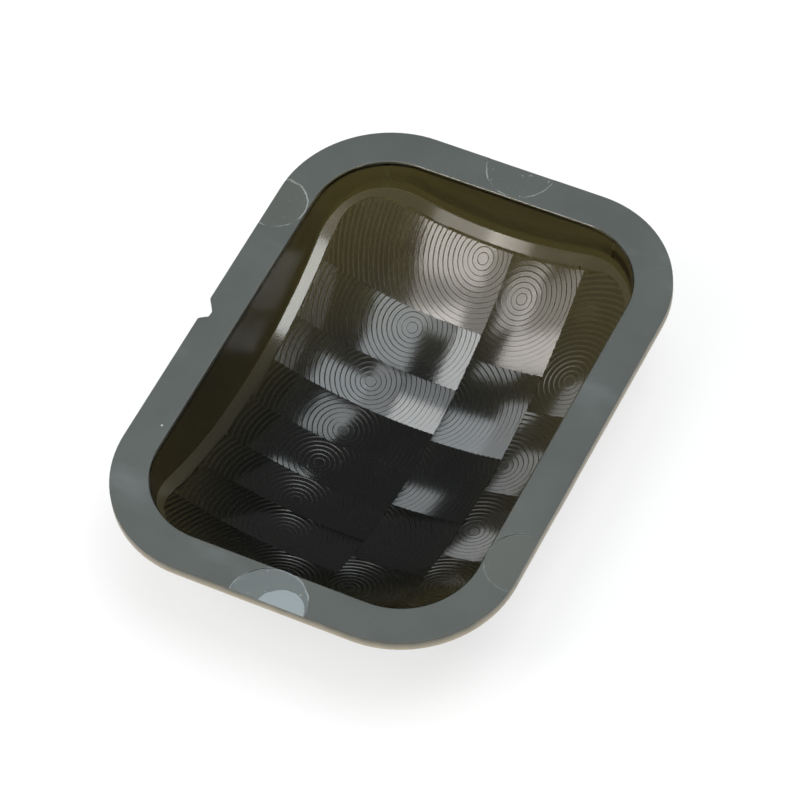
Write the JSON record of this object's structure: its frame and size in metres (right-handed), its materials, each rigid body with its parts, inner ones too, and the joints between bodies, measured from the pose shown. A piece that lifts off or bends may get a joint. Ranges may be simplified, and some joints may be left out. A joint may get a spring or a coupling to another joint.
{
  "type": "fresnel lens",
  "caption": "One-piece moulded lens for a motion sensor: a flat flange and a domed smoke window with an array of ringed lens cells inside.",
  "frame": {"origin": "lowest point of the dome, under the middle of the flange's outline", "axes": "+Z out of the open side, towards the sensor; +Y along the longer side; +X along the shorter side"},
  "size_m": [0.0266, 0.036, 0.009],
  "materials": {
    "smoke_plastic": "smoke-tinted polyethylene, polished window and finely matt flange"
  },
  "bodies": {
    "root": {"fresnel_lens": "smoke_plastic"}
  },
  "joints": []
}
